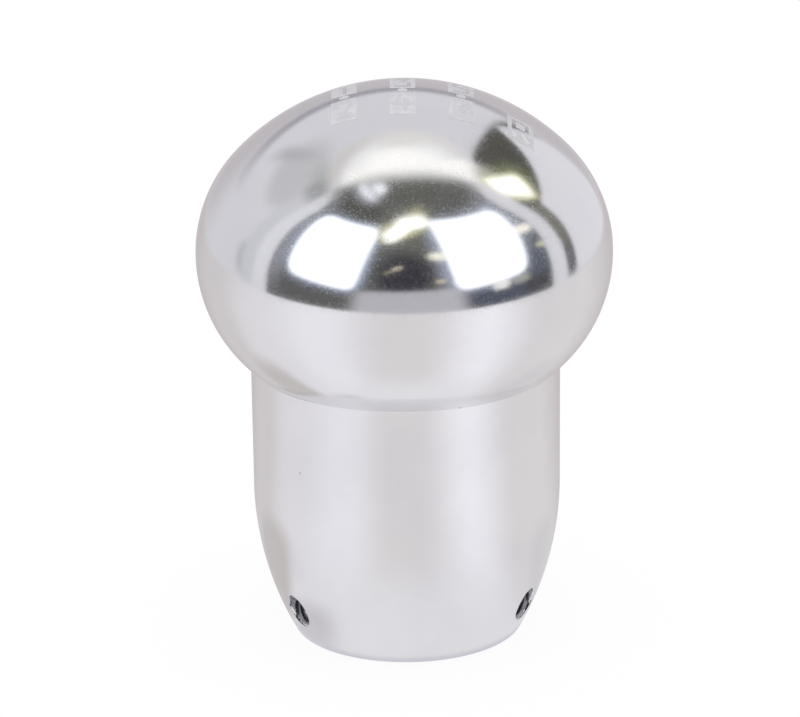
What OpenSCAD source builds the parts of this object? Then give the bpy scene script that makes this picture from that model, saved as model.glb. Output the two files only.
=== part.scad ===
// Gear shift knob: a turned aluminium knob that clamps a threaded lever adapter with three set screws.
// Millimetres, +Z up through the crown. The origin is the centre of the base, and the driver's side is -Y.

/* [Head] */
// Diameter of the head at its widest ring
head_d = 50; // [46:0.5:56]
// Height of the crown's top above the widest ring
crown_rise = 20.3; // [18:0.1:24]
// Radius of the shoulder between the widest ring and the crown
shoulder_r = 16.7; // [12:0.1:17.4]
// Radius of the bowl below the widest ring
bowl_r = 17.7; // [17.4:0.1:22]

/* [Neck and barrel] */
// Height of the corner where the barrel meets the bowl
neck_h = 33.9; // [30:0.1:40]
// Diameter of the barrel at that corner
neck_d = 37.2; // [37:0.1:39]
// Radius in the corner between the barrel and the bowl
neck_fillet_r = 0.4; // [0.2:0.1:1.5]
// Diameter of the barrel where its foot starts to curve in
barrel_d = 37; // [35:0.1:37.2]
// Height at which the foot starts to curve in
foot_h = 18.7; // [14:0.1:24]
// Diameter of the foot at the base, measured at the sharp corner
base_d = 27.4; // [26:0.1:31]
// Radius that breaks the outer edge of the base
base_edge_r = 0.4; // [0.2:0.1:0.8]

/* [Bore] */
// Radial clearance of the lever adapter in its seat
seat_clearance = 0.05; // [0.02:0.01:0.1]
// Chamfer at the mouth of the seat
mouth_chamfer = 0.5; // [0.2:0.1:0.8]
// Radial room round the end of the lever, above the adapter
lever_room = 0.75; // [0.5:0.05:1.5]
// Depth of that room above the adapter, without its drill point
lever_room_l = 25; // [10:0.5:26]
// Angle of the drill point that ends the room
drill_point_angle = 118; // [90:1:140]

/* [Lever adapter] */
// Outer diameter of the adapter
adapter_d = 19; // [17.5:0.1:20]
// Length of the adapter
adapter_l = 23; // [16:0.5:24]
// Height of the adapter's lower face above the base
adapter_recess = 1; // [0.5:0.1:1.5]
// Chamfer on the adapter's outer edges
adapter_chamfer = 0.5; // [0.2:0.1:0.8]
// Nominal diameter of the lever's metric thread
thread_d = 12; // [8:1:12]
// Pitch of the lever's thread
thread_pitch = 1.25; // [1:0.25:1.5]
// How far the thread's lead-in opens past the nominal diameter, on the radius
lead_in = 0.2; // [0.1:0.05:0.4]
// Depth of the ring groove that the screw points hold
groove_depth = 1.2; // [0.8:0.1:1.4]

/* [Set screws] */
// Nominal diameter of each set screw
screw_d = 4; // [3:0.5:5]
// Length of each set screw with its point
screw_l = 6; // [5:0.5:7]
// Height of the screw axes above the base
screw_h = 4.8; // [4.4:0.1:7]
// Turn of the first screw from the driver's side, towards +X
first_screw_turn = -57; // [-60:1:-50]
// Radial clearance of a screw in its hole, where the real threads mesh
screw_clearance = 0.05; // [0.02:0.01:0.1]
// Gap between a tightened point and the flanks of the ring groove
point_gap = 0.05; // [0.02:0.01:0.1]
// Diameter of the flat that ends each point, and width of the groove's floor
point_flat_d = 0.6; // [0.4:0.1:1]
// Chamfer on the driven end of a screw
screw_chamfer = 0.35; // [0.2:0.05:0.5]
// Size of the hex socket across its flats
socket_af = 2; // [1.5:0.1:2.2]
// Depth of the hex socket
socket_l = 2.5; // [1.5:0.1:3]

/* [Hidden] */
screw_count = 3;
screw_names = [for (i = [1:screw_count]) str("set_screw_", i)];
$fn = 160;
// How far a cut runs past the face that it opens
past = 1;
// How far each arc of the outline overlaps the next, so that no step is left where they meet
seam = 0.0005;
// How far the shoulder arc runs on inside its neighbours, in degrees
run_on = 8;
// How far the foot runs up inside the barrel
foot_lap = 0.25;

head_r = head_d / 2;
neck_r = neck_d / 2;
barrel_r = barrel_d / 2;

// The bowl arc runs out to the widest ring, and the fillet rolls on the bowl and on the barrel
bowl_x = head_r - bowl_r;
fillet_x = neck_r + neck_fillet_r;
equator_h = neck_h + sqrt(pow(bowl_r + neck_fillet_r, 2) - pow(fillet_x - bowl_x, 2));
bowl_end_a = -acos((fillet_x - bowl_x) / (bowl_r + neck_fillet_r));

// The shoulder arc is tangent to a crown arc whose centre is on the axis
knob_h = equator_h + crown_rise;
shoulder_x = head_r - shoulder_r;
tangent_r = (pow(shoulder_x, 2) + pow(crown_rise, 2) - pow(shoulder_r, 2)) / (2 * (crown_rise - shoulder_r));
crown_r = tangent_r - 2 * seam;
crown_z = knob_h - crown_r;
crown_a = atan2(equator_h - crown_z, shoulder_x);

// The foot is one arc, upright where it leaves the barrel, that runs in to the base
foot_in = (barrel_d - base_d) / 2;
foot_r = (pow(foot_in, 2) + pow(foot_h, 2)) / (2 * foot_in);
foot_x = barrel_r - foot_r;
edge_x = foot_x + sqrt(pow(foot_r - base_edge_r, 2) - pow(foot_h - base_edge_r, 2));
edge_a = atan2(base_edge_r - foot_h, edge_x - foot_x);

// The adapter seats against the shoulder at the top of its bore
adapter_r = adapter_d / 2;
seat_r = adapter_r + seat_clearance;
seat_top = adapter_recess + adapter_l;
room_r = thread_d / 2 + lever_room;
room_top = seat_top + lever_room_l;
drill_point_h = room_r / tan(drill_point_angle / 2);
thread_hole_r = (thread_d - 1.0825 * thread_pitch) / 2;
lead_in_r = thread_d / 2 + lead_in;

// A tightened screw has its point in the ring groove
screw_r = screw_d / 2;
screw_hole_r = screw_r + screw_clearance;
point_r = point_flat_d / 2;
groove_floor_r = adapter_r - groove_depth;
screw_tip = groove_floor_r + point_gap * sqrt(2);
socket_r = socket_af / 2 / cos(30);

function dir(a) = [cos(a), sin(a)];

// A slice of a disc about c, between two angles, with a true arc
module slice(c, r, from, to) {
    reach = 2 * r;
    intersection() {
        translate(c) circle(r);
        polygon([c, c + reach * dir(from), c + reach * dir((from + to) / 2), c + reach * dir(to)]);
    }
}

// Half section of the foot: one arc in to the base, with a small radius on the edge of the base
module foot_section() {
    edge = [edge_x, base_edge_r];
    far = barrel_r + past;
    difference() {
        intersection() {
            translate([foot_x + seam, foot_h]) circle(foot_r);
            square([far, foot_h + foot_lap]);
        }
        difference() {
            polygon([edge, [edge_x, -past], [far, -past], edge + 2 * past * dir(edge_a)]);
            translate(edge) circle(base_edge_r + 2 * seam);
        }
    }
}

// What fills the corner between the barrel and the bowl, up to the fillet's arc
module neck_fill() {
    fillet = [fillet_x, neck_h];
    in_bowl = fillet + 2 * neck_fillet_r * dir(180 + bowl_end_a);
    in_barrel_x = neck_r - neck_fillet_r;
    difference() {
        polygon([[in_barrel_x, neck_h], fillet, in_bowl, [in_barrel_x, in_bowl[1]]]);
        translate(fillet) circle(neck_fillet_r + 2 * seam);
    }
}

// Half section of the barrel and the head
module head_section() {
    core_h = equator_h + past;
    polygon([[0, foot_h], [barrel_r, foot_h], [neck_r, neck_h], [neck_r, core_h], [0, core_h]]);
    neck_fill();
    slice([bowl_x - seam, equator_h], bowl_r, -90, 0);
    slice([shoulder_x, equator_h], shoulder_r, -run_on, crown_a + run_on);
    slice([0, crown_z], crown_r, crown_a, 90);
}

// Turns its children, drawn along +X, to each screw's direction in turn
module at_screw(i) {
    rotate([0, 0, first_screw_turn - 90 + (i - 1) * 360 / screw_count])
        translate([0, 0, screw_h])
            children();
}

// A straight round hole or pin along +X, from one radius of the knob to another
module along_x(r, from, to) {
    translate([from, 0, 0])
        rotate([0, 90, 0])
            cylinder(r = r, h = to - from);
}

module lever_bore() {
    translate([0, 0, -past]) cylinder(r = seat_r, h = seat_top + past);
    translate([0, 0, -past])
        cylinder(r1 = seat_r + mouth_chamfer + past, r2 = seat_r, h = mouth_chamfer + past);
    cylinder(r = room_r, h = room_top);
    translate([0, 0, room_top]) cylinder(r1 = room_r, r2 = 0, h = drill_point_h);
}

module knob_body() {
    color("#d4d3d7")
        difference() {
            rotate_extrude() {
                foot_section();
                head_section();
            }
            lever_bore();
            for (i = [1:screw_count])
                at_screw(i) along_x(screw_hole_r, groove_floor_r, barrel_r + past);
        }
}

// Half section of the adapter: chamfered ends, a lead-in at each end of the thread and the ring groove
module adapter_section() {
    c = adapter_chamfer;
    lead = lead_in_r - thread_hole_r;
    groove_z = screw_h - adapter_recess;
    groove_half = point_r + groove_depth;
    polygon([
        [lead_in_r, 0],
        [adapter_r - c, 0],
        [adapter_r, c],
        [adapter_r, groove_z - groove_half],
        [groove_floor_r, groove_z - point_r],
        [groove_floor_r, groove_z + point_r],
        [adapter_r, groove_z + groove_half],
        [adapter_r, adapter_l - c],
        [adapter_r - c, adapter_l],
        [lead_in_r, adapter_l],
        [thread_hole_r, adapter_l - lead],
        [thread_hole_r, lead]
    ]);
}

module lever_adapter() {
    color("#a9a8a6")
        translate([0, 0, adapter_recess])
            rotate_extrude() adapter_section();
}

// Half section of a set screw, with its point at the origin and its driven end up
module screw_section() {
    polygon([
        [0, 0],
        [point_r, 0],
        [screw_r, screw_r - point_r],
        [screw_r, screw_l - screw_chamfer],
        [screw_r - screw_chamfer, screw_l],
        [0, screw_l]
    ]);
}

module set_screw(i) {
    color("#8f8f93")
        at_screw(i)
            translate([screw_tip, 0, 0])
                rotate([0, 90, 0])
                    difference() {
                        rotate_extrude() screw_section();
                        translate([0, 0, screw_l - socket_l])
                            cylinder(r = socket_r, h = socket_l + past, $fn = 6);
                    }
}

knob_body();
lever_adapter();
for (i = [1:screw_count])
    set_screw(i);
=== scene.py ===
"""Looks of a gear shift knob: buffed aluminium body, etched gear pattern, screws and adapter.

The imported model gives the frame, the bodies and the places. Sizes are millimetres until a mesh is written.
"""

import logging
import math
from dataclasses import dataclass
from enum import Enum
from typing import Any, Sequence

import bmesh
import bpy
import numpy as np
from mathutils import Matrix, Vector
from mathutils.geometry import delaunay_2d_cdt


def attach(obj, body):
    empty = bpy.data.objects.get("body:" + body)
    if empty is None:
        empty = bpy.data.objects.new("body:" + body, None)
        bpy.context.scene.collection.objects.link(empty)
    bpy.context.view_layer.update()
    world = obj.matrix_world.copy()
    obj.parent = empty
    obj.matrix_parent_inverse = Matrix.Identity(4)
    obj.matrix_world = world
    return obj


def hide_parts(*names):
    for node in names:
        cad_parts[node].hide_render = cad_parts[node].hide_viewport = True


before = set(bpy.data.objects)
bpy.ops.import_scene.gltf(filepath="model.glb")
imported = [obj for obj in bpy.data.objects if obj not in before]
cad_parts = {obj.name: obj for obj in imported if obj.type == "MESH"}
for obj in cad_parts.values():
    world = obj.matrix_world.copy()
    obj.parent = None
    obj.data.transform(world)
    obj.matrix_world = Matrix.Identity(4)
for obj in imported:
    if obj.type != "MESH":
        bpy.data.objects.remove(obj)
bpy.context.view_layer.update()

MM = 0.001
# Distance under which two places are one, in metres, and the least radius to divide by, in millimetres
SAME_PLACE = 1e-6
LEAST_RADIUS = 1e-6
# Angles past which an edge shows as sharp
SHARP_EDGE = math.radians(30)
SHARP_THREAD = math.radians(28)
LOG = logging.getLogger("gear_knob")

Point = tuple[float, float]
Colour = tuple[float, float, float, float]
Tree = bpy.types.NodeTree
Socket = bpy.types.NodeSocket
Material = bpy.types.Material
Mesh = bpy.types.Mesh
Piece = bpy.types.Object

MATH = "ShaderNodeMath"
VECTOR_MATH = "ShaderNodeVectorMath"
MAP_RANGE = "ShaderNodeMapRange"
MIX = "ShaderNodeMix"
MIX_SHADER = "ShaderNodeMixShader"
SPLIT = "ShaderNodeSeparateXYZ"
JOIN = "ShaderNodeCombineXYZ"


def linear(hex_colour: str) -> Colour:
    """Turns an sRGB hex colour to linear.

    Args:
        hex_colour: Six hex digits, such as "F4F4F6".

    Returns:
        Linear red, green, blue and an alpha of 1.
    """
    parts = [int(hex_colour[i:i + 2], 16) / 255 for i in (0, 2, 4)]
    red, green, blue = (c / 12.92 if c <= 0.04045 else ((c + 0.055) / 1.055) ** 2.4 for c in parts)
    return red, green, blue, 1.0


def add_node(tree: Tree, kind: str, inputs: dict[Any, Any] | None = None, **settings: Any) -> Any:
    """Adds a node with its settings, its values and its links.

    Args:
        tree: The tree that gets the node.
        kind: The node's type name.
        inputs: For each input, by name or number, a value or the output socket that feeds it.
        **settings: Properties of the node, set before its inputs.

    Returns:
        The new node.
    """
    node = tree.nodes.new(kind)
    for name, value in settings.items():
        setattr(node, name, value)
    for key, value in (inputs or {}).items():
        if isinstance(value, Socket):
            tree.links.new(value, node.inputs[key])
        else:
            node.inputs[key].default_value = value
    return node


def arc(centre: Point, radius: float, start: float, end: float, steps: int) -> list[Point]:
    """Points along an arc, its start left out.

    Args:
        centre: The arc's centre, as radius from the axis and height.
        radius: The arc's radius.
        start: The angle at which it starts, in degrees.
        end: The angle at which it ends, in degrees.
        steps: How many chords it has.

    Returns:
        The points after the first, to the end.
    """
    turns = [math.radians(start + (end - start) * i / steps) for i in range(1, steps + 1)]
    return [(centre[0] + radius * math.cos(a), centre[1] + radius * math.sin(a)) for a in turns]


def line(start: Point, end: Point, steps: int) -> list[Point]:
    """Points along a straight line, its start left out."""
    shares = [i / steps for i in range(1, steps + 1)]
    return [(start[0] + (end[0] - start[0]) * t, start[1] + (end[1] - start[1]) * t) for t in shares]


class Slot(Enum):
    """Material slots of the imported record."""

    ALUMINIUM = "polished_aluminium"
    PLATED = "plated_steel"
    SCREW = "screw_steel"


@dataclass(frozen=True)
class MetalFinish:
    """A bare metal surface, dressed from what its making left on it.

    Attributes:
        name: The finish, as the workshop calls it.
        light: Colour where the surface is cleanest, darkened as painted shade in the finishes of the tapped
            holes and the screws.
        dull: Colour where it is smudged or worn, darkened the same way in those finishes.
        roughness: Lowest and highest roughness.
        patch_mm: Size of the smudges that vary colour and roughness.
        ring_mm: Spacing of the turning marks round the axis.
        ring_depth_mm: Depth of the turning marks.
        grain_mm: Size of the finest grain.
        grain_depth_mm: Depth of that grain.
        speck_mm: Size of the cell that may hold one speck of dust, or 0 for none.
        pits: Roughness that the grain's deepest pits add.
        metallic: Share of the surface that is bare metal and not a white scattering layer.
    """

    name: str
    light: str
    dull: str
    roughness: tuple[float, float]
    patch_mm: float
    ring_mm: float
    ring_depth_mm: float
    grain_mm: float
    grain_depth_mm: float
    speck_mm: float = 0.0
    pits: float = 0.0
    metallic: float = 1.0

    # The noise values between which a clean surface turns smudged, and those that are a pit in the grain
    SMUDGED = (0.35, 0.68)
    PITTED = (0.5, 0.75)
    # A speck's look, the share of the cells that have none, and its size, edge and cover
    SPECK_COLOUR = "A9A9AB"
    SPECK_ROUGHNESS = 0.5
    SPECK_FREE = 0.72
    SPECK_SIZE = 0.05
    SPECK_EDGE = 0.012
    SPECK_COVER = 0.8

    def material(self) -> Material:
        """Builds the finish as a node material on Object coordinates.

        Returns:
            The material.
        """
        made = bpy.data.materials.new(self.name)
        made.use_nodes = True
        tree = made.node_tree
        shader = tree.nodes["Principled BSDF"]
        shader.inputs["Metallic"].default_value = self.metallic
        place = add_node(tree, "ShaderNodeTexCoord").outputs["Object"]
        patch = add_node(
            tree, "ShaderNodeTexNoise",
            {"Vector": place, "Scale": 1 / (self.patch_mm * MM), "Detail": 4.0, "Roughness": 0.6},
        ).outputs["Fac"]
        wear = add_node(
            tree, MAP_RANGE,
            {"Value": patch, "From Min": self.SMUDGED[0], "From Max": self.SMUDGED[1]},
            interpolation_type="SMOOTHSTEP",
        ).outputs["Result"]
        colour = add_node(
            tree, MIX,
            {"Factor": wear, 6: linear(self.light), 7: linear(self.dull)},
            data_type="RGBA",
        ).outputs[2]
        rough = add_node(
            tree, MAP_RANGE,
            {"Value": wear, "To Min": self.roughness[0], "To Max": self.roughness[1]},
        ).outputs["Result"]
        grain = add_node(
            tree, "ShaderNodeTexNoise",
            {"Vector": place, "Scale": 1 / (self.grain_mm * MM), "Detail": 2.0},
        ).outputs["Fac"]
        height = self._height(tree, place, grain)
        if self.pits:
            pit = add_node(
                tree, MAP_RANGE,
                {"Value": grain, "From Min": self.PITTED[0], "From Max": self.PITTED[1], "To Max": self.pits},
            ).outputs["Result"]
            rough = add_node(tree, MATH, {0: rough, 1: pit}, operation="ADD").outputs[0]
        if self.speck_mm:
            speck = self._specks(tree, place)
            colour = add_node(
                tree, MIX, {"Factor": speck, 6: colour, 7: linear(self.SPECK_COLOUR)},
                data_type="RGBA",
            ).outputs[2]
            rough = add_node(
                tree, MIX, {"Factor": speck, 2: rough, 3: self.SPECK_ROUGHNESS}, data_type="FLOAT",
            ).outputs[0]
        bump = add_node(
            tree, "ShaderNodeBump", {"Strength": 1.0, "Distance": MM, "Height": height},
        ).outputs["Normal"]
        for socket, source in {"Base Color": colour, "Roughness": rough, "Normal": bump}.items():
            tree.links.new(source, shader.inputs[socket])
        return made

    def _height(self, tree: Tree, place: Socket,
                grain: Socket) -> Socket:
        """Height of turning marks and grain, in millimetres.

        Args:
            tree: The material's tree.
            place: Object coordinates.
            grain: The grain's pattern.

        Returns:
            The socket that holds the height.
        """
        parts = add_node(tree, SPLIT, {0: place}).outputs
        flat = add_node(tree, JOIN, {0: parts[0], 1: parts[1]}).outputs[0]
        radius = add_node(tree, VECTOR_MATH, {0: flat}, operation="LENGTH").outputs["Value"]
        turned = add_node(tree, JOIN, {0: radius, 1: parts[2]}).outputs[0]
        rings = add_node(
            tree, "ShaderNodeTexNoise",
            {"Vector": turned, "Scale": 1 / (self.ring_mm * MM), "Detail": 2.0},
            noise_dimensions="2D",
        ).outputs["Fac"]
        fine = add_node(tree, MATH, {0: grain, 1: self.grain_depth_mm}, operation="MULTIPLY").outputs[0]
        return add_node(
            tree, MATH, {0: rings, 1: self.ring_depth_mm, 2: fine}, operation="MULTIPLY_ADD",
        ).outputs[0]

    def _specks(self, tree: Tree, place: Socket) -> Socket:
        """Mask of the few pits and specks.

        Args:
            tree: The material's tree.
            place: Object coordinates.

        Returns:
            The socket that is 1 on a speck and 0 elsewhere.
        """
        cells = add_node(
            tree, "ShaderNodeTexVoronoi", {"Vector": place, "Scale": 1 / (self.speck_mm * MM)},
        ).outputs
        chance = add_node(tree, "ShaderNodeSeparateColor", {0: cells["Color"]}).outputs
        size = add_node(
            tree, MAP_RANGE,
            {"Value": chance[0], "From Min": self.SPECK_FREE, "From Max": 1.0, "To Max": self.SPECK_SIZE},
        ).outputs["Result"]
        edge = add_node(tree, MATH, {0: size, 1: cells["Distance"]}, operation="SUBTRACT").outputs[0]
        return add_node(
            tree, MAP_RANGE, {"Value": edge, "From Max": self.SPECK_EDGE, "To Max": self.SPECK_COVER},
        ).outputs["Result"]


# Turned bar stock, buffed to a mirror: reflections stay sharp, under a slight haze, with a few specks
POLISHED = MetalFinish(
    "buffed_aluminium", "ECECED", "E8E8EA", (0.09, 0.12), 14.0, 0.6, 0.00004, 0.2, 0.0003,
    speck_mm=3.2, pits=0.13,
)
# Cut thread, its colour darkened as painted shade for the inside of the holes, darker still in patches: light
# crests over dark grooves
TAPPED_IN_SHADE = MetalFinish(
    "tapped_aluminium", "A6A6AC", "86868D", (0.16, 0.26), 1.0, 0.12, 0.001, 0.06, 0.0004, metallic=0.45,
)
# As left by the lathe inside the bore: fine rings that smear the light
TURNED = MetalFinish(
    "turned_aluminium", "E2E2E4", "CFCFD2", (0.26, 0.36), 6.0, 0.18, 0.004, 0.1, 0.0006,
)
# Laser etched: a pale frosted surface that scatters the light
ETCHED = MetalFinish(
    "frosted_aluminium", "F2F2F4", "E8E8EA", (0.42, 0.55), 1.5, 0.3, 0.0001, 0.1, 0.0003, metallic=0.8,
)
# Nickel on turned steel: warm grey, satin
NICKEL = MetalFinish(
    "nickel_plated_steel", "CFC9C0", "B9B3AA", (0.22, 0.34), 4.0, 0.2, 0.003, 0.08, 0.0006,
)
# Rolled thread in stainless bar: bright flanks with a little oil haze, the colour darkened below bare
# stainless as painted shade for the screws deep in their holes
STAINLESS_IN_SHADE = MetalFinish(
    "rolled_stainless", "A6A8AF", "8E9097", (0.2, 0.32), 1.2, 0.12, 0.001, 0.05, 0.0004, metallic=0.75,
)


class ShapeTree:
    """A Geometry Nodes tree whose named inputs are the sizes of one kind of shape."""

    # Points closer than this are joined, in metres
    SEAM_GAP = 1e-7

    def __init__(self, name: str, sizes: Sequence[str]) -> None:
        """Opens the tree.

        Args:
            name: The tree's name.
            sizes: Names of its number inputs, in millimetres or counts.
        """
        self.tree = bpy.data.node_groups.new(name, "GeometryNodeTree")
        face = self.tree.interface
        face.new_socket("Geometry", in_out="INPUT", socket_type="NodeSocketGeometry")
        for size in sizes:
            face.new_socket(size, in_out="INPUT", socket_type="NodeSocketFloat")
        face.new_socket("Material", in_out="INPUT", socket_type="NodeSocketMaterial")
        face.new_socket("Geometry", in_out="OUTPUT", socket_type="NodeSocketGeometry")
        self.given = self.tree.nodes.new("NodeGroupInput").outputs
        self.build()

    def build(self) -> None:
        """Fills the tree. Each kind of shape has its own."""
        raise NotImplementedError

    def node(self, kind: str, inputs: dict[Any, Any] | None = None, **settings: Any) -> Any:
        """Adds a node to this tree, as add_node does."""
        return add_node(self.tree, kind, inputs, **settings)

    def close(self, geometry: Socket) -> None:
        """Ends the tree in Realize Instances and Set Material.

        Args:
            geometry: The socket that holds the finished shape.
        """
        smooth = self.node("GeometryNodeSetShadeSmooth", {"Geometry": geometry}).outputs[0]
        real = self.node("GeometryNodeRealizeInstances", {"Geometry": smooth}).outputs[0]
        dressed = self.node("GeometryNodeSetMaterial", {"Geometry": real, "Material": self.given["Material"]})
        self.node("NodeGroupOutput", {"Geometry": dressed.outputs[0]})

    def grid(self, rows: Any, columns: Any) -> tuple[Any, Any, Any]:
        """A grid whose rows and columns become a shape's rings and its steps round.

        Args:
            rows: How many rows, a number or a socket.
            columns: How many columns.

        Returns:
            The grid, and the sockets with each point's row and column.
        """
        mesh = self.node("GeometryNodeMeshGrid", {"Vertices X": rows, "Vertices Y": columns}).outputs["Mesh"]
        index = self.node("GeometryNodeInputIndex").outputs[0]
        row, column = (
            self.node("FunctionNodeIntegerMath", {0: index, 1: columns}, operation=operation).outputs[0]
            for operation in ("DIVIDE_FLOOR", "MODULO")
        )
        return mesh, row, column

    def wrap(self, mesh: Any, position: Any) -> Any:
        """Moves the grid's points to their places and closes its seam and poles.

        Args:
            mesh: The grid.
            position: The socket with each point's place.

        Returns:
            The socket with the closed mesh.
        """
        placed = self.node("GeometryNodeSetPosition", {"Geometry": mesh, "Position": position}).outputs[0]
        merged = self.node("GeometryNodeMergeByDistance", {"Geometry": placed, "Distance": self.SEAM_GAP})
        return merged.outputs[0]

    def solid(self, name: str, material: Material, source: Mesh | None = None,
              **values: float) -> Piece:
        """Makes a plain mesh object of this shape.

        Args:
            name: The object's name.
            material: Its finish.
            source: The mesh that the tree reads, if any.
            **values: The tree's sizes by name, with _ for a space.

        Returns:
            The object, at the origin, with no modifier.
        """
        made = bpy.data.objects.new(name, source or bpy.data.meshes.new(name))
        bpy.context.scene.collection.objects.link(made)
        modifier = made.modifiers.new(self.tree.name, "NODES")
        modifier.node_group = self.tree
        for item in self.tree.interface.items_tree:
            if item.in_out == "INPUT" and item.name.replace(" ", "_") in values:
                modifier[item.identifier] = float(values[item.name.replace(" ", "_")])
            elif item.in_out == "INPUT" and item.name == "Material":
                modifier[item.identifier] = material
        settle(made)
        return made


def settle(piece: Piece) -> None:
    """Turns what an object's modifiers make into its own plain mesh, with its faces pointing outwards."""
    graph = bpy.context.evaluated_depsgraph_get()
    plain = bpy.data.meshes.new_from_object(piece.evaluated_get(graph), depsgraph=graph)
    piece.modifiers.clear()
    piece.data = plain
    plain.name = piece.name
    shape = bmesh.new()
    shape.from_mesh(plain)
    bmesh.ops.recalc_face_normals(shape, faces=shape.faces)
    shape.to_mesh(plain)
    shape.free()


class LatheTree(ShapeTree):
    """Turns an outline, given as a mesh of points in order, round the vertical axis."""

    def build(self) -> None:
        """Lays one grid row on each point of the outline."""
        count = self.node("GeometryNodeAttributeDomainSize", {"Geometry": self.given["Geometry"]}).outputs[0]
        columns = self.node(MATH, {0: self.given["Steps"], 1: 1.0}, operation="ADD").outputs[0]
        mesh, row, column = self.grid(count, columns)
        place = self.node("GeometryNodeInputPosition").outputs[0]
        point = self.node(
            "GeometryNodeSampleIndex",
            {"Geometry": self.given["Geometry"], "Value": place, "Index": row},
            data_type="FLOAT_VECTOR",
        ).outputs["Value"]
        step = self.node(MATH, {0: math.tau, 1: self.given["Steps"]}, operation="DIVIDE").outputs[0]
        turn = self.node(MATH, {0: column, 1: step}, operation="MULTIPLY").outputs[0]
        turned = self.node(
            "ShaderNodeVectorRotate", {"Vector": point, "Angle": turn}, rotation_type="Z_AXIS",
        ).outputs[0]
        self.close(self.wrap(mesh, turned))

    def turned(self, name: str, outline: Sequence[Point], material: Material,
               steps: int) -> Piece:
        """Turns an outline to a solid.

        Args:
            name: The object's name.
            outline: Points of radius and height in millimetres, from axis to axis.
            material: The finish.
            steps: How many steps the turn has.

        Returns:
            The turned object.
        """
        source = bpy.data.meshes.new(name)
        source.from_pydata([(r * MM, 0.0, z * MM) for r, z in outline], [], [])
        return self.solid(name, material, source, Steps=steps)


class RodTree(ShapeTree):
    """A closed threaded rod along +Z: a right-hand trapezoid thread between two limits on its radius."""

    ROWS_PER_TURN = 16
    # A turn more at each end, for the slanted rows, and three rows for the two caps
    SPARE_ROWS = 2.0 * ROWS_PER_TURN + 3

    def build(self) -> None:
        """Shears the grid's rows along the helix, so that crests and roots lie on edges."""
        given = self.given
        turns = self.node(MATH, {0: given["Length"], 1: given["Pitch"]}, operation="DIVIDE").outputs[0]
        rows = self.node(
            MATH, {0: turns, 1: self.ROWS_PER_TURN, 2: self.SPARE_ROWS}, operation="MULTIPLY_ADD",
        ).outputs[0]
        columns = self.node(MATH, {0: given["Steps"], 1: 1.0}, operation="ADD").outputs[0]
        mesh, row, column = self.grid(rows, columns)
        share = self.node(MATH, {0: column, 1: given["Steps"]}, operation="DIVIDE").outputs[0]
        climb = self.node(
            MATH, {0: row, 1: 1 / self.ROWS_PER_TURN, 2: share}, operation="MULTIPLY_ADD",
        ).outputs[0]
        sunk = self.node(MATH, {0: climb, 1: 1.0 + 1 / self.ROWS_PER_TURN}, operation="SUBTRACT").outputs[0]
        raw = self.node(MATH, {0: sunk, 1: given["Pitch"]}, operation="MULTIPLY").outputs[0]
        along = self.node("ShaderNodeClamp", {"Value": raw, "Min": 0.0, "Max": given["Length"]}).outputs[0]
        lifted = self.node(MATH, {0: along, 1: given["Start"]}, operation="ADD").outputs[0]
        turned = self.node(MATH, {0: lifted, 1: given["Pitch"]}, operation="DIVIDE").outputs[0]
        phase = self.node(MATH, {0: turned, 1: share}, operation="SUBTRACT").outputs[0]
        wave = self.node(MATH, {0: phase, 1: 0.5}, operation="PINGPONG").outputs[0]
        ridge = self.node(
            MAP_RANGE,
            {"Value": wave, "From Min": given["Root Flat"], "From Max": given["Crest Flat"],
             "To Min": given["Root"], "To Max": given["Crest"]},
        ).outputs["Result"]
        radius = self._limited(ridge, along)
        first = self.node("FunctionNodeCompare", {"A": row, "B": 0.5}, operation="GREATER_THAN").outputs[0]
        last = self.node(MATH, {0: rows, 1: 1.5}, operation="SUBTRACT").outputs[0]
        inner = self.node("FunctionNodeCompare", {"A": row, "B": last}, operation="LESS_THAN").outputs[0]
        inside = self.node(MATH, {0: first, 1: inner}, operation="MULTIPLY").outputs[0]
        closed = self.node(MATH, {0: radius, 1: inside}, operation="MULTIPLY").outputs[0]
        spot = self.node(JOIN, {0: closed, 2: lifted}).outputs[0]
        scaled = self.node(VECTOR_MATH, {0: spot, "Scale": MM}, operation="SCALE").outputs[0]
        angle = self.node(MATH, {0: share, 1: math.tau}, operation="MULTIPLY").outputs[0]
        turned_spot = self.node(
            "ShaderNodeVectorRotate", {"Vector": scaled, "Angle": angle}, rotation_type="Z_AXIS",
        ).outputs[0]
        self.close(self.wrap(mesh, turned_spot))

    def _limited(self, ridge: Any, along: Any) -> Any:
        """Keeps the thread inside a cone at each end, and outside a lead-in cone where one is given.

        Args:
            ridge: Socket with the thread's own radius.
            along: Socket with the distance from the rod's start.

        Returns:
            The socket with the limited radius.
        """
        given = self.given
        left = self.node(MATH, {0: given["Length"], 1: along}, operation="SUBTRACT").outputs[0]
        tip = self.node(MATH, {0: given["Tip"], 1: along}, operation="ADD").outputs[0]
        tail = self.node(MATH, {0: given["Tail"], 1: left}, operation="ADD").outputs[0]
        cone = self.node(MATH, {0: tip, 1: tail}, operation="MINIMUM").outputs[0]
        narrow = self.node(MATH, {0: ridge, 1: cone}, operation="MINIMUM").outputs[0]
        nearest = self.node(MATH, {0: along, 1: left}, operation="MINIMUM").outputs[0]
        lead = self.node(MATH, {0: given["Lead"], 1: nearest}, operation="SUBTRACT").outputs[0]
        return self.node(MATH, {0: narrow, 1: lead}, operation="MAXIMUM").outputs[0]


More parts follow.
